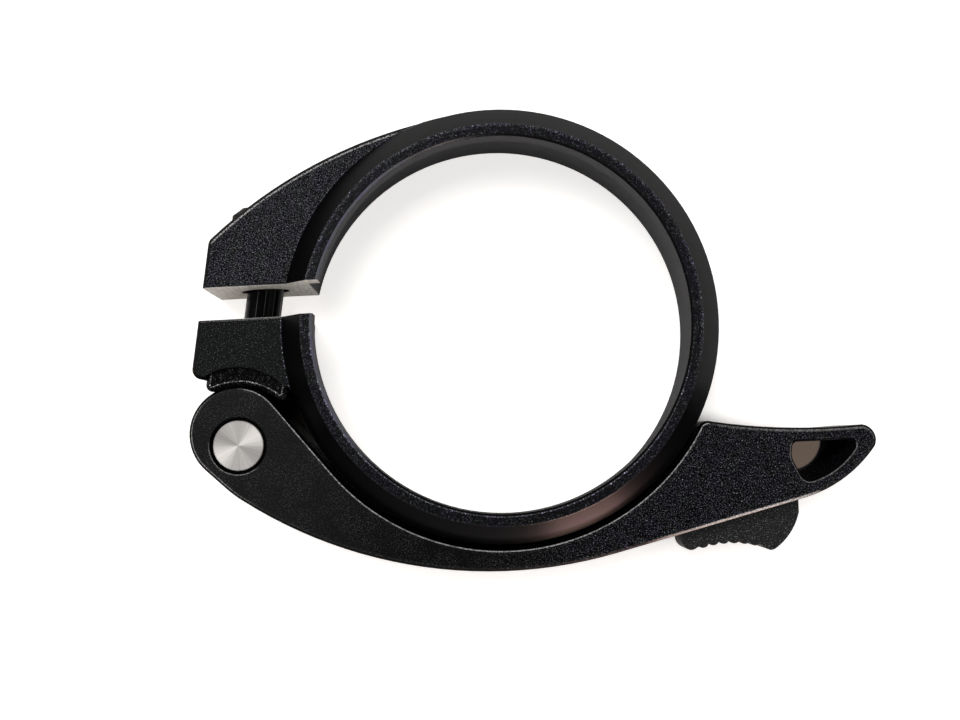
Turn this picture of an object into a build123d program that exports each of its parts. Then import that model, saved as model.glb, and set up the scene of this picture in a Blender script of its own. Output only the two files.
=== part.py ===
from build123d import *
import math
import os

os.makedirs("parts", exist_ok=True)

# Quick-release seatpost clamp for a large seat tube, lying flat on its underside.
# Origin: bore axis on the underside. +Z runs up the bore to the lip, the clamp bolt runs along Y,
# and the split in the collar opens towards -X.

# Seat tube, post and collar ring
tube_r = 31.75            # outside radius of the seat tube that the bore grips
post_opening_r = 30.0     # opening in the lip that the seatpost slides through
collar_wall = 3.25        # wall of the ring round the seat tube
collar_h = 23.0           # underside to the top of the lip
body_h = 19.0             # height of the ears and of the lever
lip_depth = 4.6           # lip that stops the collar on the end of the seat tube
lip_flat = 1.9            # flat top band of the lip, inside the cone
cone_foot = 0.3           # foot of the cone on the ears, beyond the ring wall
edge_break = 0.35         # small broken edges

# Ears and split
split_w = 5.2             # split between the ears
split_tilt = 9.5          # tilt of the split from the X axis, degrees
split_mid_y = -0.05       # middle of the split where it leaves the ring
ear_reach = 8.85          # bolt axis to the outer end of the ears
ear_corner_r = 1.6
ear_rim = 0.5             # broken rim of the ears
upper_ear_y = 8.1         # top of the upper ear's end face
upper_ear_r = 76.5        # convex back of the upper ear
upper_ear_join = 111.8    # where that back runs into the ring, degrees
lower_ear_y = 14.2        # foot of the lower ear below the bore centre

# Clamp bolt
bolt_offset = 4.5         # ring wall to the bolt axis
bolt_r = 3.0
bolt_hole_r = 3.9         # slack holes, since the ears tilt as the ring closes
head_r = 7.0
head_h = 5.2
head_edge = 1.4           # broken rim of the head
bolt_end_in = 1.2         # bolt end inside the barrel
head_seat_y = 9.8
head_gap = 0.3
socket_af = 5.0
socket_depth = 3.4

# Cam: barrel nut, cam washer and lever head
pin_y = -24.0             # barrel nut axis
barrel_r = 4.0
barrel_sink = 0.1         # barrel end below the lever face
barrel_edge = 0.15
thread_gap = 0.05
running_gap = 0.05
cam_r = 7.65              # eccentric lever head
cam_throw = 1.85          # head centre to barrel axis
cam_lead = 104.0          # direction of the throw with the lever shut, degrees
cam_gap = 0.12            # high point of the cam to the washer
washer_half_w = 6.5
washer_sink = 0.8         # washer below the ear faces
washer_edge = 0.8         # broken edge on the cam side
washer_end_r = 1.0
washer_crown = 2.9        # washer thickness on the bolt axis
washer_seat_r = 10.45     # rounded seat in the lower ear
washer_gap = 0.05
washer_hole_gap = 0.4

# Lever
lever_rise = 0.3          # lever underside above the table
lever_gap = 0.7           # ring wall to the inner side of the lever
lever_belly = 4.12        # arm thickness at the belly
belly_r = 74.0            # sweep of the belly
belly_x = -6.0
grip_slope = 22.8         # straight underside of the grip, degrees
grip_len = 31.2
grip_start = -21.0        # inner corner of the grip, degrees round the ring
grip_top_y = -11.4
tip_r = 21.3              # rounded end of the grip
tip_turn = 39.0
tip_dx = -2.35            # from the end of that round to the grip's upper edge
tip_dy = 3.33
tip_bulge = 1.05
grip_hollow = 0.76        # hollow of the upper edge, for the thumb
lever_round = 0.8
rim_edge = 0.4            # broken rims of the barrel bore and the finger hole
outline_blend = 0.8       # soft corners of the lever outline
heel_blend = 20.0
fork_gap = 0.4            # bolt to the fork in the lever head
lever_open = 150.0        # swing of the lever, degrees
hole_in = 2.75            # finger hole in the tip: from the end of the grip
hole_len = 10.55
hole_top = 0.85
hole_slope = 1.65
hole_side = 2.4
hole_foot = 2.6
hole_drop = 6.95
hole_bow = 1.3            # bow of its outer side, along the rim of the tip
finger_hole_r = 0.9
hole_toe_r = 1.6          # softer corners at its foot and inner side
hole_side_r = 3.0

# Safety latch in the lever
latch_dx = 7.0            # latch pivot beyond the ring wall
latch_py = -18.5
latch_h = 7.6
latch_gap = 0.3
latch_side_gap = 0.2
latch_hub_r = 4.0
latch_pin_r = 1.5
latch_pin_roof = 2.6      # solid lever above the blind pin hole
press_gap = 0.01
nose_at = -38.0           # where the nose enters the ring, degrees
nose_bite = 0.85          # nose in the ring wall at rest
nose_half = 1.3
notch_depth = 1.25        # notch in the ring wall for the nose
notch_w = 3.9
notch_shift = -0.35       # room for the nose to swing out
nose_lead = 0.1           # root of the nose outside the lever's inner side
arm_low_x = 10.0          # lower corner of the latch arm, from the pivot
arm_low_y = 7.0
pad_left = 8.6            # finger pad, from the pivot
pad_right = 10.1
pad_shoulder = 10.5
pad_low = 14.1
pad_rib_y = 11.75
pad_rib_x = 4.2
pad_lobe = 1.3
pad_top = 3.6
pad_back_y = 5.8
pad_round = 1.2
hub_fall = 2.6
rib_r = 1.0
rib_out = 0.45            # ribs stand out of the pad's hollow edge
rib_count = 6
slot_room = 1.4           # room beside the pad for its swing
spring_wall_x = 15.4      # slot wall that the spring stands in, from the pivot
spring_wall_y = 7.1
spring_wall_drop = 2.2
spring_r = 1.4
spring_wire_r = 0.25
spring_pocket = 2.4
spring_turns = 3
spring_wire_sides = 5

# Shared places
outer_r = tube_r + collar_wall
lip_outer_r = post_opening_r + lip_flat
bolt_x = -(outer_r + bolt_offset)
mid_z = body_h / 2
ear_x = bolt_x - ear_reach
pin = Vector(bolt_x, pin_y)
cam_centre = Vector(
    bolt_x + cam_throw * math.cos(math.radians(cam_lead)),
    pin_y + cam_throw * math.sin(math.radians(cam_lead)),
)
cam_reach = cam_r + cam_throw + cam_gap
seat_centre = Vector(cam_centre.X, pin_y + cam_reach + washer_crown - washer_seat_r)
tilt = math.radians(split_tilt)
split_plane = Plane(
    origin=(-outer_r, split_mid_y, 0),
    x_dir=(math.cos(tilt), math.sin(tilt), 0),
    z_dir=(0, 0, 1),
)
latch_pivot = Vector(outer_r + latch_dx, latch_py)
nose_out = Vector(math.cos(math.radians(nose_at)), math.sin(math.radians(nose_at)))
nose_along = Vector(-nose_out.Y, nose_out.X)


def on_ring(radius, degrees):
    """Point at a radius and direction from the bore axis."""
    return Vector(radius * math.cos(math.radians(degrees)), radius * math.sin(math.radians(degrees)))


def near(point, dx, dy):
    """Point set off from another in the plan."""
    return Vector(point.X + dx, point.Y + dy)


# Collar: ears, then the turned ring with its coned shoulder and lip, then the split and the holes
upper_join = on_ring(outer_r, upper_ear_join)
upper_corner = Vector(ear_x, upper_ear_y)
with BuildPart() as clamp_collar:
    with BuildSketch() as upper_ear:
        with BuildLine():
            Line((ear_x, 0), upper_corner)
            RadiusArc(upper_corner, upper_join, upper_ear_r)
            Polyline(upper_join, (0, 0), (ear_x, 0))
        make_face()
        fillet(upper_ear.vertices().sort_by_distance(upper_corner)[0], ear_corner_r)
    extrude(amount=body_h)
    with BuildSketch() as lower_ear:
        with BuildLine():
            Polyline(
                (ear_x, 0),
                (ear_x, -lower_ear_y),
                (seat_centre.X + washer_seat_r, -lower_ear_y),
                (0, 0),
                close=True,
            )
        make_face()
        fillet(lower_ear.vertices().sort_by_distance((ear_x, -lower_ear_y))[0], ear_corner_r)
    extrude(amount=body_h)
    ear_tops = clamp_collar.edges().group_by(Axis.Z)[-1]
    chamfer([e for e in ear_tops if math.hypot((e @ 0.5).X, (e @ 0.5).Y) > outer_r], ear_rim)
    with BuildSketch() as washer_seat:
        with Locations(seat_centre):
            Circle(washer_seat_r)
        with Locations((bolt_x - washer_half_w - washer_gap, seat_centre.Y)):
            Rectangle(
                4 * washer_seat_r, 4 * washer_seat_r, align=(Align.MIN, Align.CENTER), mode=Mode.INTERSECT
            )
    extrude(amount=body_h, mode=Mode.SUBTRACT)
    Cylinder(
        tube_r + collar_wall / 2, body_h, align=(Align.CENTER, Align.CENTER, Align.MIN), mode=Mode.SUBTRACT
    )
    with BuildSketch(Plane.XZ):
        with BuildLine():
            Polyline(
                (tube_r, 0),
                (outer_r, 0),
                (outer_r, body_h),
                (outer_r + cone_foot, body_h),
                (lip_outer_r, collar_h),
                (post_opening_r + edge_break, collar_h),
                (post_opening_r, collar_h - edge_break),
                (post_opening_r, collar_h - lip_depth),
                (tube_r, collar_h - lip_depth),
                close=True,
            )
        make_face()
    revolve(axis=Axis.Z)
    with BuildSketch(Plane.XY.offset(body_h)):
        Circle(outer_r + collar_wall)
        Circle(outer_r, mode=Mode.SUBTRACT)
        add(upper_ear.sketch_local, mode=Mode.SUBTRACT)
        add(lower_ear.sketch_local, mode=Mode.SUBTRACT)
    extrude(amount=collar_h - body_h, mode=Mode.SUBTRACT)
    with BuildSketch(split_plane):
        Rectangle(4 * outer_r, split_w, align=(Align.MAX, Align.CENTER))
    extrude(amount=collar_h, mode=Mode.SUBTRACT)
    with BuildSketch(split_plane):
        Rectangle(collar_wall + outer_r - post_opening_r, split_w, align=(Align.MIN, Align.CENTER))
    extrude(amount=collar_h, mode=Mode.SUBTRACT)
    with BuildSketch(Plane(origin=(bolt_x, 0, mid_z), x_dir=(1, 0, 0), z_dir=(0, -1, 0))):
        Circle(bolt_hole_r)
    extrude(amount=head_seat_y + lower_ear_y, both=True, mode=Mode.SUBTRACT)
    with BuildSketch(Plane(origin=(bolt_x, head_seat_y, mid_z), x_dir=(1, 0, 0), z_dir=(0, 1, 0))):
        Circle(head_r + head_gap)
    extrude(amount=outer_r, mode=Mode.SUBTRACT)
    with BuildSketch(Plane(origin=nose_out * outer_r + Vector(0, 0, mid_z), x_dir=nose_along, z_dir=nose_out)):
        with Locations((notch_shift, 0)):
            Rectangle(notch_w, latch_h + 4 * latch_side_gap)
    extrude(amount=notch_depth, both=True, mode=Mode.SUBTRACT)
clamp_collar.part.label = "clamp_collar"
export_step(clamp_collar.part, "parts/clamp_collar.step")

# Clamp bolt: round head with a broken rim and a hexagon socket, shank to the barrel nut
bolt_end_y = pin_y - barrel_r + bolt_end_in
with BuildPart() as clamp_bolt:
    with BuildSketch(Plane(origin=(bolt_x, 0, mid_z), x_dir=(1, 0, 0), z_dir=(0, 0, 1))) as bolt_half:
        with BuildLine():
            Polyline(
                (0, bolt_end_y),
                (bolt_r - edge_break, bolt_end_y),
                (bolt_r, bolt_end_y + edge_break),
                (bolt_r, head_seat_y),
                (head_r, head_seat_y),
                (head_r, head_seat_y + head_h),
                (0, head_seat_y + head_h),
                close=True,
            )
        make_face()
        head_rim = (head_r, head_seat_y + head_h)
        chamfer(bolt_half.vertices().sort_by_distance(head_rim)[0], head_edge)
    revolve(axis=Axis((bolt_x, 0, mid_z), (0, 1, 0)))
    with BuildSketch(
        Plane(origin=(bolt_x, head_seat_y + head_h, mid_z), x_dir=(1, 0, 0), z_dir=(0, 1, 0))
    ):
        RegularPolygon(socket_af / 2, 6, major_radius=False)
    extrude(amount=-socket_depth, mode=Mode.SUBTRACT)
clamp_bolt.part.label = "clamp_bolt"
export_step(clamp_bolt.part, "parts/clamp_bolt.step")

# Cam washer: saddle between the rounded seat in the ear and the cam, bored for the bolt
with BuildPart() as cam_washer:
    with BuildSketch(Plane.XY.offset(washer_sink)) as saddle:
        with Locations(seat_centre):
            Circle(washer_seat_r - washer_gap)
        with Locations((bolt_x, pin_y)):
            Rectangle(
                2 * washer_half_w, 2 * washer_seat_r, align=(Align.CENTER, Align.MIN), mode=Mode.INTERSECT
            )
        with Locations(pin):
            Circle(cam_reach, mode=Mode.SUBTRACT)
    extrude(amount=body_h - 2 * washer_sink)
    fillet(cam_washer.edges().filter_by(Axis.Z).sort_by(Axis.Y)[:2], washer_end_r)
    cam_side = cam_washer.faces().filter_by(GeomType.CYLINDER).sort_by_distance((pin.X, pin.Y, mid_z))[0]
    chamfer(cam_side.edges().filter_by(GeomType.CIRCLE), washer_edge)
    with BuildSketch(Plane(origin=(bolt_x, pin_y, mid_z), x_dir=(1, 0, 0), z_dir=(0, 1, 0))):
        Circle(bolt_r + washer_hole_gap)
    extrude(amount=cam_reach + 2 * washer_crown, mode=Mode.SUBTRACT)
cam_washer.part.label = "cam_washer"
export_step(cam_washer.part, "parts/cam_washer.step")

# Barrel nut: turned pivot of the lever, cross-bored for the bolt
barrel_foot = lever_rise + barrel_sink
with BuildPart() as barrel_nut:
    with BuildSketch(Plane.XY.offset(barrel_foot)):
        with Locations(pin):
            Circle(barrel_r)
    extrude(amount=body_h - barrel_sink - barrel_foot)
    chamfer(barrel_nut.edges().filter_by(GeomType.CIRCLE), barrel_edge)
    with BuildSketch(Plane(origin=(bolt_x, pin_y, mid_z), x_dir=(1, 0, 0), z_dir=(0, 1, 0))):
        Circle(bolt_r + thread_gap)
    extrude(amount=2 * barrel_r, both=True, mode=Mode.SUBTRACT)
barrel_nut.part.label = "barrel_nut"
export_step(barrel_nut.part, "parts/barrel_nut.step")

# Lever outline: eccentric head, arm wrapped round the ring, grip with a hollowed upper edge
arm_r = outer_r + lever_gap
cam_way = math.degrees(math.atan2(cam_centre.Y, cam_centre.X))
cam_far = math.hypot(cam_centre.X, cam_centre.Y)
neck = cam_way + math.degrees(math.acos((arm_r + cam_r) / cam_far))
neck_arm = on_ring(arm_r, neck)
neck_head = cam_centre - on_ring(cam_r, neck)
belly_centre = Vector(belly_x, belly_r - arm_r - lever_belly)
heel = Vector(bolt_x, belly_centre.Y - math.sqrt(belly_r**2 - (bolt_x - belly_x) ** 2))
to_cam = cam_centre - heel
heel_way = math.atan2(to_cam.Y, to_cam.X) + math.asin(cam_r / math.hypot(to_cam.X, to_cam.Y))
heel_head = near(cam_centre, -cam_r * math.sin(heel_way), cam_r * math.cos(heel_way))
grip_foot = near(
    belly_centre,
    belly_r * math.sin(math.radians(grip_slope)),
    -belly_r * math.cos(math.radians(grip_slope)),
)
grip_end = near(
    grip_foot,
    grip_len * math.cos(math.radians(grip_slope)),
    grip_len * math.sin(math.radians(grip_slope)),
)
tip_end = near(
    grip_end,
    tip_r * (math.sin(math.radians(grip_slope + tip_turn)) - math.sin(math.radians(grip_slope))),
    tip_r * (math.cos(math.radians(grip_slope)) - math.cos(math.radians(grip_slope + tip_turn))),
)
grip_tip = near(tip_end, tip_dx, tip_dy)
grip_corner = Vector(outer_r + lever_gap / 2, grip_top_y)
grip_inner = on_ring(arm_r, grip_start)
hole_inner = near(tip_end, -hole_in - hole_len, hole_top - hole_slope)
hole_point = near(tip_end, -hole_in, hole_top)
hole_toe = near(tip_end, -hole_in - hole_len + hole_foot, -hole_drop)
hole_side_foot = near(hole_inner, 0, -hole_side)
fork_end = on_ring(1, 90 + lever_open)
fork_side = Vector(-fork_end.Y, fork_end.X)

# Latch: nose by the ring wall, arm, finger pad with a hollow edge, all set from the latch pivot
nose_tip = outer_r - nose_bite
nose_root = arm_r + nose_lead
nose_low_tip = nose_out * nose_tip - nose_along * nose_half
nose_low_root = nose_out * nose_root - nose_along * nose_half
nose_top_root = nose_out * nose_root + nose_along * (nose_half + edge_break)
nose_top_tip = nose_out * nose_tip + nose_along * (nose_half - edge_break)
arm_low = near(latch_pivot, -arm_low_x, -arm_low_y)
arm_way = (latch_pivot - nose_top_root).normalized()
hub_top = latch_pivot + Vector(-arm_way.Y, arm_way.X) * latch_hub_r
pad_in = near(latch_pivot, -pad_left, -pad_shoulder)
pad_side = near(latch_pivot, -pad_left, -pad_low + 1.5 * pad_lobe)
pad_foot = near(latch_pivot, -pad_left + 1.5 * pad_lobe, -pad_low)
rib_from = near(pad_foot, pad_lobe * 0.8, pad_lobe * 0.6)
rib_to = near(latch_pivot, pad_rib_x, -pad_rib_y)
pad_heel = near(rib_to, pad_lobe * 1.6, -pad_lobe * 0.75)
pad_back = near(latch_pivot, pad_right, -pad_back_y)
pad_back_top = near(latch_pivot, pad_right - edge_break, -pad_top)
rib_edge = ThreePointArc(rib_from, near(latch_pivot, -rib_out, -pad_rib_y), rib_to)

# Slot for the latch: from the ring side, round the latch hub, to the underside of the grip
slot_h = latch_h + 2 * latch_side_gap
slot_top = hub_top + Vector(-arm_way.Y, arm_way.X) * latch_gap
slot_nose = nose_top_root + Vector(-arm_way.Y, arm_way.X) * 2 * latch_gap
spring_wall_a = near(latch_pivot, -spring_wall_x, -spring_wall_y)
spring_wall_b = near(latch_pivot, -pad_left - 2 * latch_gap, -spring_wall_y - spring_wall_drop)
spring_face = (spring_wall_b - spring_wall_a).normalized()
spring_way = Vector(-spring_face.Y, spring_face.X)
spring_foot = (spring_wall_a + spring_wall_b) * 0.5 - spring_way * spring_pocket

with BuildPart() as cam_lever:
    with BuildSketch(Plane.XY.offset(lever_rise)) as lever_plan:
        with BuildLine():
            Line(heel_head, heel)
            ThreePointArc(heel, near(belly_centre, 0, -belly_r), grip_foot)
            Line(grip_foot, grip_end)
            RadiusArc(grip_end, tip_end, -tip_r)
            SagittaArc(tip_end, grip_tip, -tip_bulge)
            SagittaArc(grip_tip, grip_corner, grip_hollow)
            SagittaArc(grip_corner, grip_inner, -lever_gap * 0.75)
            RadiusArc(grip_inner, neck_arm, arm_r)
            Line(neck_arm, neck_head)
            ThreePointArc(neck_head, near(cam_centre, -cam_r, 0), heel_head)
        make_face()
        for corner in (grip_corner, grip_inner, tip_end, grip_tip):
            fillet(lever_plan.vertices().sort_by_distance(near(corner, 0, 0))[0], outline_blend)
        fillet(lever_plan.vertices().sort_by_distance(near(heel, 0, 0))[0], heel_blend)
    extrude(amount=body_h - lever_rise)
    fillet(cam_lever.faces().sort_by(Axis.Z)[-1].edges(), lever_round)
    chamfer(cam_lever.faces().sort_by(Axis.Z)[0].edges(), lever_round / 2)
    with BuildSketch(Plane.XY.offset(mid_z - bolt_r - fork_gap)) as fork:
        with BuildLine():
            Polyline(
                near(pin, bolt_r + fork_gap, 0),
                near(pin, bolt_r + fork_gap, 4 * cam_r),
                near(pin, -4 * cam_r, 4 * cam_r),
                near(pin, -4 * cam_r, -2 * cam_r),
                pin + fork_end * 4 * cam_r + fork_side * (bolt_r + fork_gap),
                pin + fork_side * (bolt_r + fork_gap),
                close=True,
            )
        make_face()
    extrude(amount=2 * (bolt_r + fork_gap), mode=Mode.SUBTRACT)
    with BuildSketch():
        with Locations(pin):
            Circle(barrel_r + running_gap)
    extrude(amount=body_h, mode=Mode.SUBTRACT)
    with BuildSketch() as finger_hole:
        with BuildLine():
            Polyline(hole_toe, hole_side_foot, hole_inner, hole_point)
            SagittaArc(hole_point, hole_toe, hole_bow)
        make_face()
        for corner, radius in (
            (hole_inner, finger_hole_r),
            (hole_point, finger_hole_r),
            (hole_toe, hole_toe_r),
            (hole_side_foot, hole_side_r),
        ):
            fillet(finger_hole.vertices().sort_by_distance(near(corner, 0, 0))[0], radius)
    extrude(amount=body_h, mode=Mode.SUBTRACT)
    for face in (cam_lever.faces().sort_by(Axis.Z)[-1], cam_lever.faces().sort_by(Axis.Z)[0]):
        for rim in face.inner_wires():
            chamfer(rim.edges(), rim_edge)
    with BuildSketch(Plane.XY.offset(mid_z - slot_h / 2)) as latch_slot:
        with BuildLine():
            Polyline(
                slot_top,
                slot_nose,
                nose_top_tip,
                nose_low_tip - nose_along * 2 * slot_room,
                spring_wall_a,
                spring_wall_b,
                near(latch_pivot, -pad_left - 2 * latch_gap, -pad_low - pad_top),
                near(latch_pivot, pad_right + slot_room, -pad_low - pad_top),
                near(latch_pivot, pad_right + slot_room, -hub_fall * 2 / 3),
                near(latch_pivot, latch_hub_r, -hub_fall * 2 / 3),
                close=True,
            )
        make_face()
        with Locations(latch_pivot):
            Circle(latch_hub_r + latch_gap)
    extrude(amount=slot_h, mode=Mode.SUBTRACT)
    with BuildSketch():
        with Locations(latch_pivot):
            Circle(latch_pin_r + press_gap)
    extrude(amount=body_h - latch_pin_roof, mode=Mode.SUBTRACT)
    with BuildSketch(Plane(origin=spring_foot + Vector(0, 0, mid_z), x_dir=(0, 0, 1), z_dir=spring_way)):
        Circle(spring_r + latch_side_gap)
    extrude(amount=2 * spring_pocket, mode=Mode.SUBTRACT)
cam_lever.part.label = "cam_lever"
export_step(cam_lever.part, "parts/cam_lever.step")

# Safety latch: rocker on its pin, ribbed on the finger pad
with BuildPart() as safety_latch:
    with BuildSketch(Plane.XY.offset(mid_z - latch_h / 2)) as latch_plan:
        with BuildLine():
            Polyline(nose_low_tip, nose_low_root, arm_low, pad_in, pad_side)
            TangentArc(pad_side, pad_foot, tangent=(0, -1))
            Line(pad_foot, rib_from)
            add(rib_edge)
            Line(rib_to, pad_heel)
            ThreePointArc(pad_heel, near(pad_back, -pad_lobe * 0.7, -2 * pad_lobe - 2 * edge_break), pad_back)
            Polyline(pad_back, pad_back_top, near(latch_pivot, latch_hub_r, -hub_fall), hub_top)
            Polyline(hub_top, nose_top_root, nose_top_tip, nose_low_tip)
        make_face()
        for lobe in (pad_foot, pad_heel):
            fillet(latch_plan.vertices().sort_by_distance(near(lobe, 0, 0))[0], pad_round)
        with Locations(latch_pivot):
            Circle(latch_hub_r)
        for i in range(rib_count):
            along = rib_edge % ((i + 0.5) / rib_count)
            inward = Vector(-along.Y, along.X)
            with Locations(rib_edge @ ((i + 0.5) / rib_count) + inward * (rib_r - rib_out)):
                Circle(rib_r)
    extrude(amount=latch_h)
    with BuildSketch():
        with Locations(latch_pivot):
            Circle(latch_pin_r + running_gap)
    extrude(amount=body_h, mode=Mode.SUBTRACT)
safety_latch.part.label = "safety_latch"
export_step(safety_latch.part, "parts/safety_latch.step")

# Latch pin: plain pin in a blind hole from the underside of the lever
with BuildPart() as latch_pin:
    with BuildSketch(Plane.XY.offset(lever_rise + barrel_sink)):
        with Locations(latch_pivot):
            Circle(latch_pin_r)
    extrude(amount=body_h - latch_pin_roof - lever_rise - 2 * barrel_sink)
    chamfer(latch_pin.edges().filter_by(GeomType.CIRCLE), edge_break / 2)
latch_pin.part.label = "latch_pin"
export_step(latch_pin.part, "parts/latch_pin.step")

# Latch spring: small coil spring from the pocket in the slot wall to the latch arm
arm_face = (arm_low - nose_low_root).normalized()
arm_out = Vector(-arm_face.Y, arm_face.X)
spring_room = (nose_low_root - spring_foot).dot(arm_out) / spring_way.dot(arm_out)
spring_len = spring_room - 4 * spring_wire_r
coil_r = spring_r - spring_wire_r
with BuildPart() as latch_spring:
    with BuildLine() as coil:
        Helix(
            pitch=spring_len / spring_turns,
            height=spring_len,
            radius=coil_r,
            center=spring_foot + spring_way * (2 * spring_wire_r) + Vector(0, 0, mid_z),
            direction=spring_way,
        )
    with BuildSketch(Plane(origin=coil.line @ 0, z_dir=coil.line % 0)):
        RegularPolygon(spring_wire_r, spring_wire_sides)
    sweep()
latch_spring.part.label = "latch_spring"
export_step(latch_spring.part, "parts/latch_spring.step")
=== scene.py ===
import math
import bpy
import numpy as np
from mathutils import Matrix, Vector


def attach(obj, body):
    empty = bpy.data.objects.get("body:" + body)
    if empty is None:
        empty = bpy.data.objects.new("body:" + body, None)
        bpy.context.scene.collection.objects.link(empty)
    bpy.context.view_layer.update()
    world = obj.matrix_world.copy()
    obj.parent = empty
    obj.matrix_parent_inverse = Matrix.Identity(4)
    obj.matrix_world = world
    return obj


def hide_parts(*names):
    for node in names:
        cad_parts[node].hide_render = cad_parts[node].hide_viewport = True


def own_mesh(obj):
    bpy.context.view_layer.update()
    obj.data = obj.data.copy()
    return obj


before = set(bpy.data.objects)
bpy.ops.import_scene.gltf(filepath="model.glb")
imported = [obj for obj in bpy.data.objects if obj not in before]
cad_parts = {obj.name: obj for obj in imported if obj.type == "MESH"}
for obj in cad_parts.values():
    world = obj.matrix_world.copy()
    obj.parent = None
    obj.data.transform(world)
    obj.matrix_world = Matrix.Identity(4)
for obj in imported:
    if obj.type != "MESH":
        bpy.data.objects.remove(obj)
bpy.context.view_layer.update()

# Clamp collar: one split ring with two ears, machined from aluminium, bead-blasted and black
# anodised. The cone under the lip and the bore are turned smooth, and the split was sawn after
# the colour, so its two faces are bare metal.
BORE_R = 0.03175
LIP_R = 0.03
LIP_RIM = 0.0319
LIP_TOP = 0.023
CONE_FOOT = 0.0353
EAR_TOP = 0.019
EAR_BACK_X, EAR_BACK_Y, EAR_BACK_R = 0.01103, -0.04013, 0.076
SPLIT_X, SPLIT_Y = -0.035, -0.00005
SPLIT_TILT = math.radians(9.5)
SPLIT_HALF = 0.0026
SPLIT_INNER_X = -0.028
COAT_BLUE = (1.01, 0.93, 1.34, 1.0)
COAT_GREEN = (0.96, 1.03, 1.12, 1.0)
LOWER_EAR_TINT = (0.93, 1.08, 1.0, 1.0)
EDGE_HIGHLIGHT_GREY = (0.45, 0.44, 0.43, 1.0)
SAWN_DARK = (0.66, 0.62, 0.56, 1.0)
SAWN_LIGHT = (0.95, 0.93, 0.89, 1.0)
PAINTED_RIM_SHADE = 0.002
EAR_GREY, EAR_SPECKS = 0.004, 0.007
CONE_PAINTED_REFLECTION, CONE_BANDS = 0.008, 0.003
BORE_GREY, BORE_BANDS = 0.01, 0.014
PAINTED_CHAMFER_LIGHT = 0.22
PAINTED_EDGE_HIGHLIGHT = 0.012
COAT_DULL, CONE_DULL, BORE_DULL, SAWN_DULL = 0.25, 0.34, 0.62, 0.42
LIP_METAL, SAWN_METAL = 0.7, 0.15
BLAST_DEPTH = 0.00003
BANDS_PER_METRE = 5200.0
SAW_MARKS_PER_METRE = 3200.0
# Where a look begins and ends along the collar
LOWER_EAR_Y = (-0.004, -0.002)
BESIDE_ARM_Y = (-0.02, -0.01)
PAINTED_CHAMFER_LIGHT_X = (-0.024, -0.016)
FAR_SIDE_Y = (-0.014, 0.006)
BACK_LINE_Y = (0.004, 0.006)
# How far up a face points where a look begins, is full, fades and ends
BROKEN_RIM_UP = (0.5, 0.6, 0.8, 0.9)
FLAT_UP = (0.9, 0.97)


def new_group(name, inputs, outputs):
    """Empty shader node group with float inputs (name, value) and outputs (name, socket type)."""
    group = bpy.data.node_groups.new(name, "ShaderNodeTree")
    for label, value in inputs:
        socket = group.interface.new_socket(label, in_out="INPUT", socket_type="NodeSocketFloat")
        socket.default_value = value
    for label, kind in outputs:
        group.interface.new_socket(label, in_out="OUTPUT", socket_type=kind)
    enter = group.nodes.new("NodeGroupInput")
    leave = group.nodes.new("NodeGroupOutput")
    return group, enter.outputs, leave.inputs


def node(tree, kind, links=None, **settings):
    """Adds a node; settings are its properties, links its inputs as numbers or other nodes' outputs."""
    made = tree.nodes.new(kind)
    for key, value in settings.items():
        setattr(made, key, value)
    for key, value in (links or {}).items():
        if isinstance(value, bpy.types.NodeSocket):
            tree.links.new(value, made.inputs[key])
        else:
            made.inputs[key].default_value = value
    return made


def parts(tree, vector):
    """The x, y and z of a vector."""
    return node(tree, "ShaderNodeSeparateXYZ", {0: vector}).outputs


def joined(tree, x, z=0.0):
    """Vector of an x and a z."""
    return node(tree, "ShaderNodeCombineXYZ", {0: x, 2: z}).outputs["Vector"]


def dot(tree, a, b):
    """Dot product of two vectors."""
    return node(tree, "ShaderNodeVectorMath", {0: a, 1: b}, operation="DOT_PRODUCT").outputs["Value"]


def maths(tree, operation, a, b=0.0, c=0.0):
    """Output of one Math node; each value is a number or another node's output."""
    return node(tree, "ShaderNodeMath", {0: a, 1: b, 2: c}, operation=operation).outputs[0]


def less(tree, a, b):
    """a minus b."""
    return maths(tree, "SUBTRACT", a, b)


def times(tree, first, *others):
    """Product of all the values."""
    for other in others:
        first = maths(tree, "MULTIPLY", first, other)
    return first


def scaled(tree, value, factor, start):
    """start + factor x value."""
    return maths(tree, "MULTIPLY_ADD", value, factor, start)


def length(tree, a, b):
    """Length of a plan vector."""
    return maths(tree, "SQRT", maths(tree, "ADD", maths(tree, "POWER", a, 2.0), maths(tree, "POWER", b, 2.0)))


def step_up(tree, value, low, high):
    """0 below low, 1 above high, smooth between."""
    links = {"Value": value, "From Min": low, "From Max": high}
    return node(tree, "ShaderNodeMapRange", links, interpolation_type="SMOOTHSTEP").outputs["Result"]


def step_down(tree, value, low, high):
    """1 below low, 0 above high, smooth between."""
    return less(tree, 1.0, step_up(tree, value, low, high))


def band(tree, value, low, full, fade, high):
    """1 from full to fade, 0 below low and above high, smooth between."""
    return times(tree, step_up(tree, value, low, full), step_down(tree, value, fade, high))


def blend(tree, share, a, b):
    """a at share 0, b at share 1, for numbers."""
    return node(tree, "ShaderNodeMix", {0: share, 2: a, 3: b}, data_type="FLOAT").outputs[0]


def blend_colour(tree, share, a, b, how="MIX"):
    """a at share 0, and at share 1 b, or both multiplied or added."""
    links = {0: share, 6: a, 7: b}
    return node(tree, "ShaderNodeMix", links, data_type="RGBA", blend_type=how).outputs[2]


def grey(tree, value, tint=(1.0, 1.0, 1.0, 1.0)):
    """Colour of that grey value, multiplied by a tint."""
    links = {"Red": value, "Green": value, "Blue": value}
    plain = node(tree, "ShaderNodeCombineColor", links).outputs["Color"]
    return blend_colour(tree, 1.0, plain, tint, "MULTIPLY")


def noise(tree, vector, scale, detail):
    """Noise from 0 to 1 with that many lumps in each unit of the vector."""
    links = {"Vector": vector, "Scale": scale, "Detail": detail}
    return node(tree, "ShaderNodeTexNoise", links).outputs["Fac"]


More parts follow.
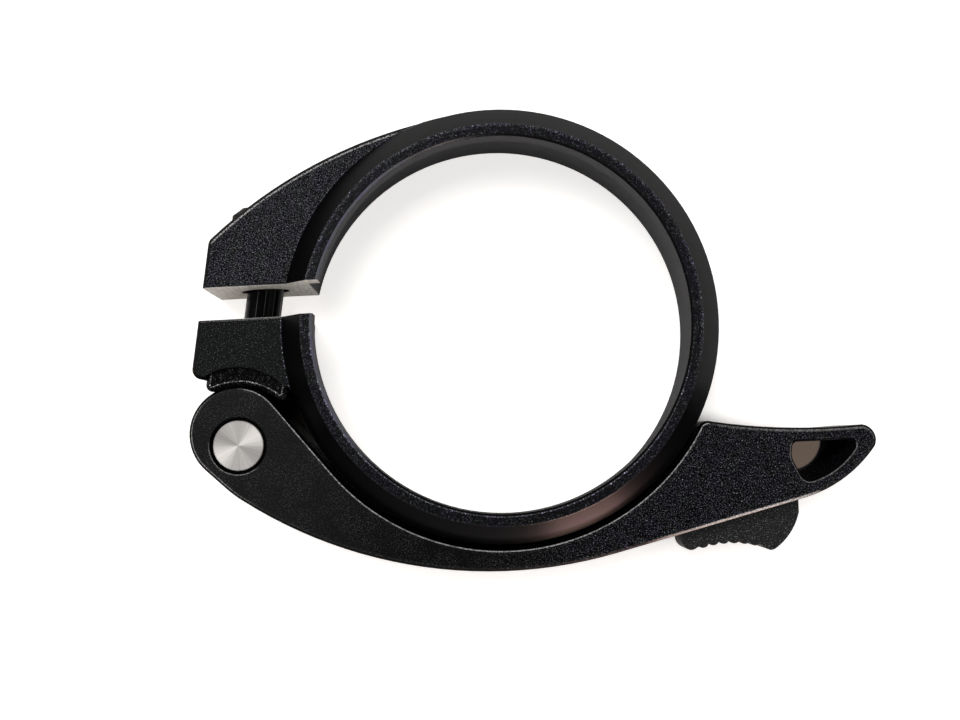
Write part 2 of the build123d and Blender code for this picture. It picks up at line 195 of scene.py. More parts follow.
# Blasted grain: fine pits whose brightness spreads like real specks, few bright and many dark, and
# the coat's tint, which wanders between blue and green
grain, grain_in, grain_out = new_group(
    "blasted_grain",
    [("Pits per metre", 5200.0), ("Contrast", 13.0)],
    [("Grain", "NodeSocketFloat"), ("Pits", "NodeSocketFloat"), ("Tint", "NodeSocketColor")],
)
grain_at = node(grain, "ShaderNodeTexCoord").outputs["Object"]
pits = noise(grain, grain_at, grain_in["Pits per metre"], detail=0.6)
spread = times(grain, less(grain, pits, 0.5), grain_in["Contrast"])
cloud = step_up(grain, noise(grain, grain_at, scale=420.0, detail=2.0), 0.38, 0.62)
grain.links.new(maths(grain, "POWER", math.e, spread), grain_out["Grain"])
grain.links.new(pits, grain_out["Pits"])
grain.links.new(blend_colour(grain, cloud, COAT_BLUE, COAT_GREEN), grain_out["Tint"])

# Rounded edge: normal of an edge with a small radius, and a broken line of painted highlight along it
edge, edge_in, edge_out = new_group(
    "rounded_edge", [("Radius", 0.00028)], [("Normal", "NodeSocketVector"), ("Mask", "NodeSocketFloat")]
)
edge_normal = node(edge, "ShaderNodeBevel", {"Radius": edge_in["Radius"]}, samples=6).outputs["Normal"]
face_normal = node(edge, "ShaderNodeNewGeometry").outputs["Normal"]
edge_line = step_up(edge, less(edge, 1.0, dot(edge, edge_normal, face_normal)), 0.004, 0.035)
edge_at = node(edge, "ShaderNodeTexCoord").outputs["Object"]
edge_gap = noise(edge, edge_at, scale=1400.0, detail=3.0)
edge.links.new(edge_normal, edge_out["Normal"])
edge.links.new(times(edge, edge_line, step_up(edge, edge_gap, 0.3, 0.6)), edge_out["Mask"])


def new_material(name, **plain):
    """Material with one Principled BSDF; plain are inputs that are the same all over."""
    made = bpy.data.materials.new(name)
    made.use_nodes = True
    shader = made.node_tree.nodes["Principled BSDF"]
    for key, value in plain.items():
        shader.inputs[key.replace("_", " ")].default_value = value
    return made, made.node_tree, shader


def paint(tree, shader, **looks):
    """Links what changes over the surface to the shader's inputs."""
    for key, value in looks.items():
        tree.links.new(value, shader.inputs[key.replace("_", " ")])


def relief(tree, height, edges, depth, strength):
    """Normal of bumps of that depth, on top of the rounded edges."""
    links = {"Height": height, "Normal": edges["Normal"], "Distance": depth, "Strength": strength}
    return node(tree, "ShaderNodeBump", links).outputs["Normal"]


def dress(name, material):
    """Gives a CAD node its material."""
    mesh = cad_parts[name].data
    mesh.materials.clear()
    mesh.materials.append(material)


collar_black, tree, shader = new_material("black_anodised_collar", Specular_IOR_Level=0.52)
coords = node(tree, "ShaderNodeTexCoord").outputs
x, y, z = parts(tree, coords["Object"])
face_up = parts(tree, coords["Normal"])["Z"]
ring_r = length(tree, x, y)
blasted = node(tree, "ShaderNodeGroup", {"Contrast": 11.0}, node_tree=grain).outputs
edges = node(tree, "ShaderNodeGroup", node_tree=edge).outputs
turned = noise(tree, joined(tree, ring_r, z), BANDS_PER_METRE, detail=2.0)

# Where the collar's surfaces are
on_cone = times(
    tree,
    step_up(tree, ring_r, LIP_RIM, LIP_RIM + 0.0001),
    step_up(tree, z, EAR_TOP + 0.00002, EAR_TOP + 0.0001),
)
in_bore = times(
    tree,
    step_down(tree, ring_r, BORE_R + 0.00005, BORE_R + 0.0001),
    step_down(tree, z, LIP_TOP - 0.00045, LIP_TOP - 0.00035),
)
across_split = maths(
    tree,
    "ADD",
    times(tree, less(tree, x, SPLIT_X), -math.sin(SPLIT_TILT)),
    times(tree, less(tree, y, SPLIT_Y), math.cos(SPLIT_TILT)),
)
off_face = maths(tree, "ABSOLUTE", less(tree, maths(tree, "ABSOLUTE", across_split), SPLIT_HALF))
on_split = times(
    tree,
    step_down(tree, off_face, 0.00002, 0.00006),
    step_down(tree, x, SPLIT_INNER_X - 0.0005, SPLIT_INNER_X),
)
on_ears = step_up(tree, ring_r, CONE_FOOT, CONE_FOOT + 0.0003)
on_lower_ear = times(tree, on_ears, step_down(tree, y, *LOWER_EAR_Y))
on_lip = step_up(tree, z, LIP_TOP - 0.0004, LIP_TOP - 0.0003)
broken_rim = times(tree, band(tree, face_up, *BROKEN_RIM_UP), on_ears)

# Grey of the coat: grain on the ears and the lip, turned bands on the cone and in the bore
ear_grain = blend(tree, on_lower_ear, blasted["Grain"], scaled(tree, blasted["Grain"], 0.25, 0.5))
# Painted shade: the ears' chamfered rims are coloured near black
coat_grey = blend(tree, broken_rim, scaled(tree, ear_grain, EAR_SPECKS, EAR_GREY), PAINTED_RIM_SHADE)
# Painted reflection: the cone is coloured lighter from the lip's rim down to its foot
cone_down = step_up(tree, ring_r, LIP_RIM, CONE_FOOT)
# Painted shade: the lower cone beside the lever's arm is coloured black
shade_beside_arm = times(
    tree,
    step_up(tree, ring_r, CONE_FOOT - 0.0016, CONE_FOOT - 0.0009),
    step_down(tree, y, *BESIDE_ARM_Y),
)
cone_grey = scaled(tree, cone_down, CONE_PAINTED_REFLECTION, times(tree, turned, CONE_BANDS))
coat_grey = blend(tree, on_cone, coat_grey, times(tree, cone_grey, less(tree, 1.0, shade_beside_arm)))
coat_grey = blend(tree, in_bore, coat_grey, scaled(tree, turned, BORE_BANDS, BORE_GREY))
# Painted highlight on the left of the lip's inner chamfer, painted shade on the rest of it
lip_chamfer = times(tree, on_lip, step_down(tree, ring_r, LIP_R + 0.0003, LIP_R + 0.0004))
chamfer_painted_light = blend(tree, step_down(tree, x, *PAINTED_CHAMFER_LIGHT_X), PAINTED_RIM_SHADE, PAINTED_CHAMFER_LIGHT)
coat_grey = blend(tree, lip_chamfer, coat_grey, chamfer_painted_light)

# Painted highlights along edges: the lip's two rims and the foot of the cone
far_side = step_up(tree, y, *FAR_SIDE_Y)
lip_outer = times(
    tree,
    band(tree, ring_r, LIP_RIM - 0.0006, LIP_RIM - 0.0001, LIP_RIM, LIP_RIM + 0.0001),
    far_side,
)
lip_inner = times(
    tree,
    band(tree, ring_r, LIP_R + 0.0003, LIP_R + 0.0004, LIP_R + 0.0005, LIP_R + 0.0006),
    less(tree, 1.0, far_side),
)
lip_highlight_lines = times(tree, scaled(tree, lip_inner, 2.0, lip_outer), on_lip)
foot_highlight_line = times(
    tree,
    band(tree, ring_r, CONE_FOOT - 0.0001, CONE_FOOT, CONE_FOOT + 0.0001, CONE_FOOT + 0.0002),
    step_up(tree, z, EAR_TOP - 0.0001, EAR_TOP - 0.00005),
)
painted_edge_highlight = times(tree, maths(tree, "ADD", lip_highlight_lines, foot_highlight_line), blasted["Grain"])
coat_grey = scaled(tree, painted_edge_highlight, PAINTED_EDGE_HIGHLIGHT, coat_grey)

# Painted highlights along edges: the upper ear's back and the lower ear beside the saw cut
from_back = length(tree, less(tree, x, EAR_BACK_X), less(tree, y, EAR_BACK_Y))
inside_back = less(tree, from_back, EAR_BACK_R)
back_line = times(
    tree,
    band(tree, inside_back, -0.0003, -0.0002, -0.00005, 0.00005),
    step_up(tree, y, *BACK_LINE_Y),
)
saw_line = band(
    tree, across_split, -SPLIT_HALF - 0.0004, -SPLIT_HALF - 0.0002, -SPLIT_HALF - 0.0001, -SPLIT_HALF
)
ear_edge_highlight = times(
    tree,
    scaled(tree, saw_line, 0.3, back_line),
    times(tree, step_up(tree, face_up, *FLAT_UP), on_ears),
    step_up(tree, blasted["Pits"], 0.36, 0.56),
)

# Saw marks run up the bare faces of the split
upright = node(tree, "ShaderNodeMapping", {"Vector": coords["Object"], "Scale": (1.0, 1.0, 0.08)})
saw_marks = step_up(tree, noise(tree, upright.outputs["Vector"], SAW_MARKS_PER_METRE, detail=3.0), 0.3, 0.7)
coat_tint = blend_colour(tree, on_lower_ear, blasted["Tint"], LOWER_EAR_TINT)
coat = blend_colour(tree, ear_edge_highlight, grey(tree, coat_grey, coat_tint), EDGE_HIGHLIGHT_GREY)
colour = blend_colour(tree, on_split, coat, blend_colour(tree, saw_marks, SAWN_DARK, SAWN_LIGHT))
pitted = maths(tree, "MAXIMUM", less(tree, 1.0, times(tree, ear_grain, 0.42)), 0.0)
sheen = blend(tree, on_lip, pitted, scaled(tree, lip_highlight_lines, -0.3, LIP_METAL))
sheen = times(tree, blend(tree, on_cone, sheen, 1.0), less(tree, 1.0, ear_edge_highlight))
sheen = blend(tree, in_bore, maths(tree, "MAXIMUM", sheen, broken_rim), 0.0)
dull = blend(tree, in_bore, blend(tree, on_cone, COAT_DULL, CONE_DULL), BORE_DULL)
smooth = maths(tree, "MINIMUM", maths(tree, "ADD", on_cone, in_bore), 1.0)
height = blend(tree, smooth, blasted["Pits"], times(tree, turned, 0.2))
paint(
    tree,
    shader,
    Base_Color=colour,
    Metallic=blend(tree, on_split, sheen, SAWN_METAL),
    Roughness=blend(tree, on_split, dull, SAWN_DULL),
    Normal=relief(tree, height, edges, BLAST_DEPTH, strength=0.2),
)
dress("clamp_collar", collar_black)

# Clamp bolt: steel cap screw with a black oxide finish, its head turned and its shank drawn. It
# passes through both ears and screws into the barrel nut.
BOLT_TINT = (0.96, 0.98, 1.04, 1.0)
SHANK_HALF = 0.006
OXIDE_GREY, OXIDE_CLOUDS = 0.001, 0.006
PAINTED_STREAK_LIGHT = 0.16
HEAD_DULL, SHANK_DULL = 0.5, 0.12

bolt_black, tree, shader = new_material("black_oxide_bolt", Metallic=0.95)
coords = node(tree, "ShaderNodeTexCoord").outputs
edges = node(tree, "ShaderNodeGroup", node_tree=edge).outputs
from_middle = maths(tree, "ABSOLUTE", parts(tree, coords["Object"])["Y"])
on_shank = step_down(tree, from_middle, SHANK_HALF, SHANK_HALF + 0.002)
oxide = noise(tree, coords["Object"], scale=700.0, detail=4.0)
# Painted reflection: light streaks along the shank, set by the way its surface faces
drawn = noise(tree, joined(tree, parts(tree, coords["Normal"])["X"]), scale=9.0, detail=3.0)
painted_reflection_streaks = times(tree, step_up(tree, drawn, 0.56, 0.7), on_shank)
oxide_grey = scaled(tree, painted_reflection_streaks, PAINTED_STREAK_LIGHT, scaled(tree, oxide, OXIDE_CLOUDS, OXIDE_GREY))
# Painted highlight along the bolt's edges
oxide_grey = scaled(tree, edges["Mask"], 0.03, oxide_grey)
paint(
    tree,
    shader,
    Base_Color=grey(tree, oxide_grey, BOLT_TINT),
    Roughness=scaled(tree, oxide, 0.2, blend(tree, on_shank, HEAD_DULL, SHANK_DULL)),
    Normal=edges["Normal"],
)
dress("clamp_bolt", bolt_black)

# Cam washer: moulded acetal saddle between the lower ear and the cam, matte black, held by the
# bolt through it. Its broken edge beside the cam carries a painted highlight.
WASHER_TINT = (0.98, 1.0, 1.04, 1.0)
WASHER_TOP = 0.0182
WASHER_GREY, WASHER_SPECKS = 0.001, 0.004
MOULD_DEPTH = 0.00002
CAM_STRIP_UP = (0.4, 0.6, 0.85, 0.95)

washer_black, tree, shader = new_material("acetal_washer", Specular_IOR_Level=0.2)
coords = node(tree, "ShaderNodeTexCoord").outputs
blasted = node(tree, "ShaderNodeGroup", node_tree=grain).outputs
edges = node(tree, "ShaderNodeGroup", node_tree=edge).outputs
# Painted highlight: the chamfer beside the cam is coloured lighter, most of all along its top edge
cam_strip = band(tree, parts(tree, coords["Normal"])["Z"], *CAM_STRIP_UP)
near_top = step_up(tree, parts(tree, coords["Object"])["Z"], WASHER_TOP - 0.00025, WASHER_TOP - 0.00015)
painted_highlight_line = times(tree, cam_strip, near_top)
lighter = scaled(tree, painted_highlight_line, 14.0, scaled(tree, cam_strip, 1.2, 1.0))
washer_grey = times(tree, scaled(tree, blasted["Grain"], WASHER_SPECKS, WASHER_GREY), lighter)
paint(
    tree,
    shader,
    Base_Color=grey(tree, washer_grey, WASHER_TINT),
    Roughness=scaled(tree, blasted["Pits"], 0.15, 0.5),
    Metallic=scaled(tree, painted_highlight_line, -0.8, 0.8),
    Normal=relief(tree, blasted["Pits"], edges, MOULD_DEPTH, strength=0.3),
)
dress("cam_washer", washer_black)

# Barrel nut: stainless steel bar, turned, threaded across for the bolt, and the lever's pivot. Its
# ends are faced in a lathe, so fine rings run round them, and painted highlights lie on them in sectors.
BARREL_X, BARREL_Y = -0.0395, -0.024
BARREL_TINT = (1.0, 0.96, 0.92, 1.0)
WIDE_SECTOR_TURN = math.radians(90)
FINE_SECTOR_TURN = math.radians(140)
STEEL_GREY = 0.38
RING_DEPTH = 0.00002
RINGS_PER_METRE = 16000.0

barrel_steel, tree, shader = new_material("turned_steel_barrel", Metallic=0.25)
edges = node(tree, "ShaderNodeGroup", node_tree=edge).outputs
x, y, _ = parts(tree, node(tree, "ShaderNodeTexCoord").outputs["Object"])
across = less(tree, x, BARREL_X)
along = less(tree, y, BARREL_Y)
rings = noise(tree, joined(tree, length(tree, across, along)), RINGS_PER_METRE, detail=2.0)
# Painted highlights on the faced ends: sectors and rays lighter and darker by their angle round the axis
way_round = maths(tree, "ARCTAN2", along, across)
wide_painted_highlight = maths(tree, "COSINE", scaled(tree, way_round, 2.0, -WIDE_SECTOR_TURN))
fine_painted_highlight = maths(tree, "COSINE", scaled(tree, way_round, 4.0, -FINE_SECTOR_TURN))
rays = noise(tree, joined(tree, way_round), scale=9.0, detail=2.0)
steel_grey = STEEL_GREY
for pattern, strength in ((wide_painted_highlight, 0.2), (fine_painted_highlight, 0.13), (rays, 0.4), (rings, 0.12)):
    steel_grey = scaled(tree, pattern, strength, steel_grey)
paint(
    tree,
    shader,
    Base_Color=grey(tree, steel_grey, BARREL_TINT),
    Roughness=scaled(tree, rings, 0.14, 0.45),
    Normal=relief(tree, rings, edges, RING_DEPTH, strength=0.5),
)
dress("barrel_nut", barrel_steel)

# Cam lever: machined from aluminium, blasted and black anodised like the collar. Painted
# highlights run along its inner edge, its heel and the finger side of the grip. It turns on the
# barrel nut.
HOLE_X, HOLE_Y, HOLE_LONG, HOLE_WIDE = 0.0535, -0.015, 0.0068, 0.0052
PIN_SEAT_R = 0.00455
ARM_TINT = (0.96, 1.0, 1.0, 1.0)
HIGHLIGHT_TINT = (1.0, 0.98, 0.95, 1.0)
LEVER_GREY, LEVER_SPECKS = 0.0025, 0.004
HEAD_LEVEL, ARM_LEVEL = 1.35, 0.75
FACE_DULL, ROUND_DULL = 0.3, 0.55
# Where a look begins and ends along the lever
GRIP_X = (-0.004, 0.026)
HEAD_X = (-0.03, -0.008)
HEEL_X = (-0.044, -0.033)
THUMB_X = (0.034, 0.04)
FINGER_X = (0.026, 0.042, 0.05, 0.056)
# How far up an edge points where its look begins, is full, fades and ends
ROUNDED_UP = (0.1, 0.35, 0.8, 0.93)
INNER_LINE_UP = (0.8, 0.87, 0.92, 0.96)
HEEL_LINE_UP = (0.84, 0.89, 0.93, 0.96)
THUMB_LINE_UP = (0.84, 0.93, 0.98, 0.998)
FINGER_LINE_UP = (0.3, 0.5, 0.88, 0.95)
HOLE_CHAMFER_UP = (0.5, 0.65, 0.75, 0.9)
PIN_ARC_WAY_X, PIN_ARC_WAY_Y = -0.35, -0.94

lever_black, tree, shader = new_material("black_anodised_lever", Specular_IOR_Level=0.42)
coords = node(tree, "ShaderNodeTexCoord").outputs
x, y, z = parts(tree, coords["Object"])
face_x, face_y, face_up = parts(tree, coords["Normal"])
face_near = times(tree, face_y, -1.0)
blasted = node(tree, "ShaderNodeGroup", node_tree=grain).outputs
edges = node(tree, "ShaderNodeGroup", node_tree=edge).outputs
outward = maths(tree, "ADD", times(tree, x, face_x), times(tree, y, face_y))
inward = times(tree, maths(tree, "DIVIDE", outward, length(tree, x, y)), -1.0)

# Grey of the coat: full grain on the grip and smoother off it; painted light makes the head lighter,
# painted shade makes the arm and the rounded edges darker
steep = band(tree, face_up, *ROUNDED_UP)
on_grip = step_up(tree, x, *GRIP_X)
patches = step_up(tree, noise(tree, coords["Object"], scale=160.0, detail=2.0), 0.42, 0.6)
specks = times(tree, step_up(tree, blasted["Grain"], 2.2, 4.2), patches)
# Painted light and shade: the coat's level is higher on the head and lower along the arm
painted_light_level = blend(tree, step_up(tree, x, *HEAD_X), HEAD_LEVEL, ARM_LEVEL)
smooth_grain_with_painted_light = scaled(tree, blasted["Grain"], 0.12, scaled(tree, specks, 3.0, painted_light_level))
lever_grain = blend(tree, on_grip, smooth_grain_with_painted_light, blasted["Grain"])
# Painted shade: rounded edges are coloured at 0.3 of the face's grey
coat_grey = times(tree, scaled(tree, lever_grain, LEVER_SPECKS, LEVER_GREY), blend(tree, steep, 1.0, 0.3))
from_pin_x = less(tree, x, BARREL_X)
from_pin_y = less(tree, y, BARREL_Y)
from_pin = length(tree, from_pin_x, from_pin_y)
# Painted shade: the seat round the pin is coloured near black
pin_rim = step_down(tree, from_pin, PIN_SEAT_R, PIN_SEAT_R + 0.00007)
coat_grey = blend(tree, pin_rim, coat_grey, PAINTED_RIM_SHADE)

# Painted highlights on edges, each placed by the way the rounded edge faces and by its place
inner_line = times(tree, band(tree, face_up, *INNER_LINE_UP), step_up(tree, inward, 0.1, 0.25))
heel_line = times(
    tree,
    band(tree, face_up, *HEEL_LINE_UP),
    step_down(tree, face_y, 0.1, 0.35),
    step_down(tree, x, *HEEL_X),
)
thumb_line = times(
    tree,
    band(tree, face_up, *THUMB_LINE_UP),
    step_up(tree, face_y, 0.03, 0.1),
    step_up(tree, x, *THUMB_X),
)
from_hole_x = scaled(tree, x, 1 / HOLE_LONG, -HOLE_X / HOLE_LONG)
from_hole_y = scaled(tree, y, 1 / HOLE_WIDE, -HOLE_Y / HOLE_WIDE)
off_hole = step_up(tree, length(tree, from_hole_x, from_hole_y), 1.0, 1.1)
finger_line = times(
    tree,
    band(tree, face_up, *FINGER_LINE_UP),
    step_up(tree, face_near, 0.1, 0.25),
    band(tree, x, *FINGER_X),
    off_hole,
)
hole_chamfer = times(tree, band(tree, face_up, *HOLE_CHAMFER_UP), less(tree, 1.0, off_hole))
hole_rim = times(
    tree,
    hole_chamfer,
    step_up(tree, z, EAR_TOP - 0.0002, EAR_TOP - 0.00012),
    step_up(tree, face_y, -0.5, -0.2),
)
below_pin = scaled(tree, from_pin_x, PIN_ARC_WAY_X, times(tree, from_pin_y, PIN_ARC_WAY_Y))
pin_arc = times(
    tree,
    band(tree, from_pin, PIN_SEAT_R, PIN_SEAT_R + 0.00007, PIN_SEAT_R + 0.00015, PIN_SEAT_R + 0.00025),
    step_up(tree, below_pin, 0.001, 0.003),
)
painted_highlights = 0.0
for line, strength in (
    (heel_line, 0.2),
    (inner_line, 0.3),
    (thumb_line, 0.06),
    (finger_line, 0.32),
    (hole_rim, 0.13),
    (pin_arc, 0.12),
):
    painted_highlights = scaled(tree, line, strength, painted_highlights)
gaps = maths(tree, "MINIMUM", scaled(tree, blasted["Grain"], 0.6, 0.3), 1.6)
highlight_colour = grey(tree, times(tree, painted_highlights, gaps), HIGHLIGHT_TINT)
coat = grey(tree, coat_grey, blend_colour(tree, on_grip, ARM_TINT, blasted["Tint"]))
dark_rims = maths(tree, "MAXIMUM", maths(tree, "MAXIMUM", steep, hole_chamfer), pin_rim)
sheen = maths(tree, "MAXIMUM", less(tree, 1.0, times(tree, lever_grain, 0.4)), dark_rims)
paint(
    tree,
    shader,
    Base_Color=blend_colour(tree, 1.0, coat, highlight_colour, "ADD"),
    Roughness=scaled(tree, blasted["Pits"], -0.1, blend(tree, steep, FACE_DULL, ROUND_DULL)),
    Metallic=times(tree, sheen, step_down(tree, painted_highlights, 0.01, 0.05)),
    Normal=relief(tree, blasted["Pits"], edges, BLAST_DEPTH, strength=0.2),
)
dress("cam_lever", lever_black)

# Safety latch: rocker moulded in dark grey glass-filled nylon, with ribs under the finger. It turns
# on a pin in a slot of the grip.
LATCH_TINT = (0.97, 1.0, 1.02, 1.0)
NYLON_GREY, NYLON_SPECKS = 0.003, 0.006

latch_grey, tree, shader = new_material("nylon_latch", Specular_IOR_Level=0.3)
blasted = node(tree, "ShaderNodeGroup", node_tree=grain).outputs
edges = node(tree, "ShaderNodeGroup", node_tree=edge).outputs
# Painted highlight along the latch's edges
nylon_grey = scaled(tree, edges["Mask"], 0.03, scaled(tree, blasted["Grain"], NYLON_SPECKS, NYLON_GREY))
paint(
    tree,
    shader,
    Base_Color=grey(tree, nylon_grey, LATCH_TINT),
    Roughness=scaled(tree, blasted["Pits"], 0.1, 0.45),
    Normal=relief(tree, blasted["Pits"], edges, MOULD_DEPTH, strength=0.6),
)
dress("safety_latch", latch_grey)

# Latch pin: steel drawn and ground to size, pressed into a blind hole in the lever from below, so
# that the latch turns on it.
PIN_GREY = 0.5


def drawn_steel(name, tone):
    """Bright steel drawn to size, of that grey, with fine streaks."""
    made, tree, shader = new_material(name, Metallic=1.0)
    streaks = noise(tree, node(tree, "ShaderNodeTexCoord").outputs["Object"], scale=4000.0, detail=3.0)
    steel = grey(tree, scaled(tree, streaks, 0.2, tone - 0.1))
    paint(tree, shader, Base_Color=steel, Roughness=scaled(tree, streaks, 0.2, 0.25))
    return made


dress("latch_pin", drawn_steel("ground_pin", PIN_GREY))

# Latch spring: coil of round steel wire that stands in a pocket of the lever and presses on the latch.
# It shortens as the latch is pulled, so this coil stands for the rigid one.
COIL_FOOT = np.array((0.028897, -0.028962, 0.0095))
COIL_WAY = np.array((0.33441, 0.94242, 0.0))
COIL_START = 0.0005
COIL_LONG = 0.00354
COIL_R = 0.00115
COIL_TURNS = 3
COIL_STEPS = 97
WIRE_R = 0.00025
WIRE_SIDES = 10
WIRE_GREY = 0.38


def coil_points(steps, sides):
    """Tube round a helix: P(s, t) = foot + way (start + long s) + R u + r (cos t u + sin t v), where
    u = cos a e1 + sin a e2, a = 2 pi turns s, v = run x u, run the helix's tangent, 0 <= s <= 1."""
    s = np.linspace(0.0, 1.0, steps)[:, None, None]
    t = np.linspace(0.0, 2 * math.pi, sides, endpoint=False)[None, :, None]
    e1 = np.array((0.0, 0.0, 1.0))
    e2 = np.cross(COIL_WAY, e1)
    a = 2 * math.pi * COIL_TURNS * s
    u = np.cos(a) * e1 + np.sin(a) * e2
    run = COIL_WAY * COIL_LONG + 2 * math.pi * COIL_TURNS * COIL_R * (np.cos(a) * e2 - np.sin(a) * e1)
    v = np.cross(run / np.linalg.norm(run, axis=2, keepdims=True), u)
    helix = COIL_FOOT + COIL_WAY * (COIL_START + COIL_LONG * s) + COIL_R * u
    return helix + WIRE_R * (np.cos(t) * u + np.sin(t) * v)


first = np.arange((COIL_STEPS - 1) * WIRE_SIDES).reshape(-1, WIRE_SIDES)
beside = np.roll(first, -1, axis=1)
walls = np.stack([first, beside, beside + WIRE_SIDES, first + WIRE_SIDES], axis=2)
coil_faces = walls.reshape(-1, 4).tolist()
coil_faces.append(list(range(WIRE_SIDES))[::-1])
coil_faces.append(list(range((COIL_STEPS - 1) * WIRE_SIDES, COIL_STEPS * WIRE_SIDES)))
coil_mesh = bpy.data.meshes.new("wire_coil")
coil_mesh.from_pydata(coil_points(COIL_STEPS, WIRE_SIDES).reshape(-1, 3).tolist(), [], coil_faces)
coil_mesh.polygons.foreach_set("use_smooth", np.array([len(face) == 4 for face in coil_faces]))
coil_mesh.materials.append(drawn_steel("spring_wire", WIRE_GREY))
coil = bpy.data.objects.new("wire_coil", coil_mesh)
bpy.context.scene.collection.objects.link(coil)
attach(coil, "lever")
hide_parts("latch_spring")
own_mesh(coil)

# Table: pale matte board that the clamp lies on, wide enough for every view. It glows for the
# camera; painted shade makes it dark in the gap between the arm and the ring, and brown under the
# finger hole.
TABLE_HALF = 1.2
TABLE_DROP = 0.00005
RING_IN, RING_OUT = 0.031, 0.037
PATCH_X, PATCH_Y, PATCH_R = 0.0525, -0.0123, 0.005
UNDER_ARM_Y = (-0.012, -0.008)
BOARD_PALE = (0.9, 0.87, 0.845, 1.0)
BOARD_SHADED = (0.02, 0.016, 0.014, 1.0)
GLOW_WHITE = (1.0, 0.985, 0.97, 1.0)
GLOW_BROWN = (1.0, 0.75, 0.6, 1.0)
GLOW_INSIDE, GLOW_OUTSIDE, GLOW_PATCH = 0.66, 0.68, 0.12

table_mesh = bpy.data.meshes.new("table")
corners = TABLE_HALF * np.array(((-1, -1, 0), (1, -1, 0), (1, 1, 0), (-1, 1, 0)))
table_mesh.from_pydata(corners.tolist(), [], [(0, 1, 2, 3)])
table = bpy.data.objects.new("table", table_mesh)
bpy.context.scene.collection.objects.link(table)
table.location.z = -TABLE_DROP
table_white, tree, shader = new_material("white_table", Roughness=0.7, Specular_IOR_Level=0.1)
open_sky = node(tree, "ShaderNodeAmbientOcclusion", {"Distance": 0.02}, samples=8).outputs["AO"]
board_x, board_y, _ = parts(tree, node(tree, "ShaderNodeTexCoord").outputs["Object"])
beyond = step_up(tree, length(tree, board_x, board_y), RING_IN, RING_OUT)
under_arm = times(tree, beyond, step_down(tree, board_y, *UNDER_ARM_Y))
# Painted shade: beside the arm, where little sky reaches the board, its colour turns dark and its glow fades
clear = blend(tree, under_arm, 1.0, step_up(tree, open_sky, 0.2, 0.55))
from_patch = length(tree, less(tree, board_x, PATCH_X), less(tree, board_y, PATCH_Y))
off_patch = step_up(tree, from_patch, PATCH_R, PATCH_R + 0.0004)
# Painted shade: a brown patch of weaker glow on the board under the finger hole
patch = less(tree, 1.0, maths(tree, "MAXIMUM", off_patch, step_up(tree, open_sky, 0.3, 0.45)))
glow = times(tree, blend(tree, beyond, GLOW_INSIDE, GLOW_OUTSIDE), clear)
glow = blend(tree, patch, glow, GLOW_PATCH)
seen = node(tree, "ShaderNodeLightPath").outputs["Is Camera Ray"]
paint(
    tree,
    shader,
    Base_Color=blend_colour(tree, clear, BOARD_SHADED, BOARD_PALE),
    Emission_Color=blend_colour(tree, patch, GLOW_WHITE, GLOW_BROWN),
    Emission_Strength=times(tree, seen, glow),
)
table_mesh.materials.append(table_white)

# Studio: a bright ring of soft light all round, dim straight above where the camera is and dim at
# the horizon, one soft lamp high on the upper left and a warm low one in front on the right. A
# small warm card in front shows only in reflections.
LAMP_WAY = (-0.166, 0.198, 0.966)
LAMP_FAR = 0.95
CAMERA_WAY = (0.035, -0.087, 0.9956)
WINDOW_PLACE = (0.24, -0.42, 0.09)
CARD_PLACE = (0.072, -0.111, 0.0075)
CARD_AIM = (0.018, -0.028, 0.021)
WINDOW_COLOUR = (1.0, 0.86, 0.82)
CARD_COLOUR = (1.0, 0.59, 0.48)
LOW_LIGHT, RING_LIGHT, HIGH_LIGHT, LAMP_LIGHT, CAMERA_LIGHT = 0.2, 0.62, 0.26, 0.4, 0.01
# Height of each change in the sky, and nearness to the lamp's and the camera's way, as cosines
RING_RISE = (0.25, 0.6)
HIGH_FADE = (0.8, 0.93)
NEAR_LAMP = (0.98, 0.999)
NEAR_CAMERA = (0.985, 0.998)

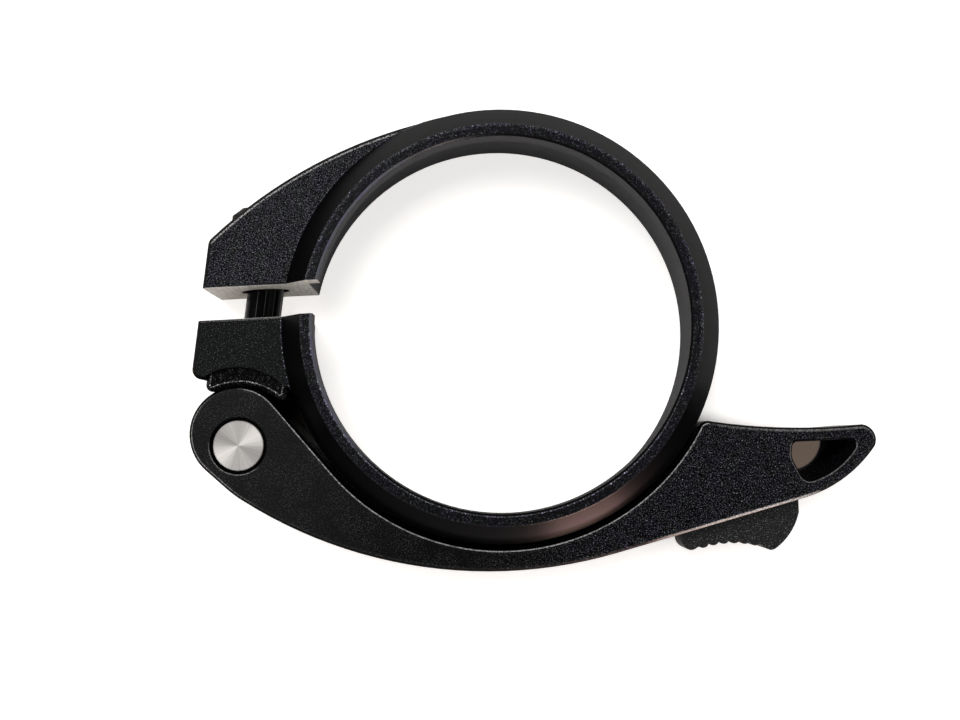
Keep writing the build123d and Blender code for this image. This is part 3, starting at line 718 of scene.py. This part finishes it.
world = bpy.data.worlds.new("studio")
bpy.context.scene.world = world
world.use_nodes = True
tree = world.node_tree
back = tree.nodes["Background"]
back.inputs["Color"].default_value = (1.0, 1.0, 1.0, 1.0)
toward = node(tree, "ShaderNodeTexCoord").outputs["Generated"]
up = parts(tree, toward)["Z"]
soft = blend(tree, step_up(tree, up, *RING_RISE), LOW_LIGHT, RING_LIGHT)
soft = blend(tree, step_up(tree, up, *HIGH_FADE), soft, HIGH_LIGHT)
soft = scaled(tree, step_up(tree, dot(tree, toward, LAMP_WAY), *NEAR_LAMP), LAMP_LIGHT, soft)
soft = blend(tree, step_up(tree, dot(tree, toward, CAMERA_WAY), *NEAR_CAMERA), soft, CAMERA_LIGHT)
seen = node(tree, "ShaderNodeLightPath").outputs["Is Camera Ray"]
tree.links.new(maths(tree, "MAXIMUM", soft, seen), back.inputs["Strength"])


def lamp(name, place, aim, wide, deep, watts):
    """Area lamp at a place, turned to face a point."""
    light = bpy.data.lights.new(name, "AREA")
    light.shape = "RECTANGLE"
    light.size = wide
    light.size_y = deep
    light.energy = watts
    made = bpy.data.objects.new(name, light)
    bpy.context.scene.collection.objects.link(made)
    made.location = place
    made.rotation_mode = "QUATERNION"
    made.rotation_quaternion = (Vector(aim) - Vector(place)).to_track_quat("-Z", "Y")
    return made


key_place = LAMP_FAR * Vector(LAMP_WAY)
key = lamp("key", key_place, aim=(0.0, 0.0, 0.01), wide=0.28, deep=0.28, watts=4.0)
key.visible_glossy = False
window = lamp("window", WINDOW_PLACE, aim=(0.02, -0.02, 0.01), wide=0.14, deep=0.1, watts=0.7)
window.data.color = WINDOW_COLOUR
warm_card = lamp("warm_card", CARD_PLACE, aim=CARD_AIM, wide=0.05, deep=0.014, watts=0.11)
warm_card.data.color = CARD_COLOUR
warm_card.visible_diffuse = False
warm_card.visible_camera = False

# Camera: almost straight above, turned a little, as the photograph was taken
EYE = Vector((-0.005, -0.0194, 0.2495))
AIM = Vector((-0.0028, -0.00617, 0.023))
PHOTO_UP = Vector((-0.1149, 0.9934, 0.0))

camera_data = bpy.data.cameras.new("camera")
camera_data.lens = 54.0
camera_data.sensor_width = 36.0
camera_data.clip_start = 0.01
camera = bpy.data.objects.new("camera", camera_data)
bpy.context.scene.collection.objects.link(camera)
ahead = (AIM - EYE).normalized()
right = ahead.cross(PHOTO_UP).normalized()
turn = Matrix((right, right.cross(ahead), -ahead)).transposed()
camera.matrix_world = Matrix.Translation(EYE) @ turn.to_4x4()
bpy.context.scene.camera = camera
bpy.context.scene.view_settings.view_transform = "Standard"
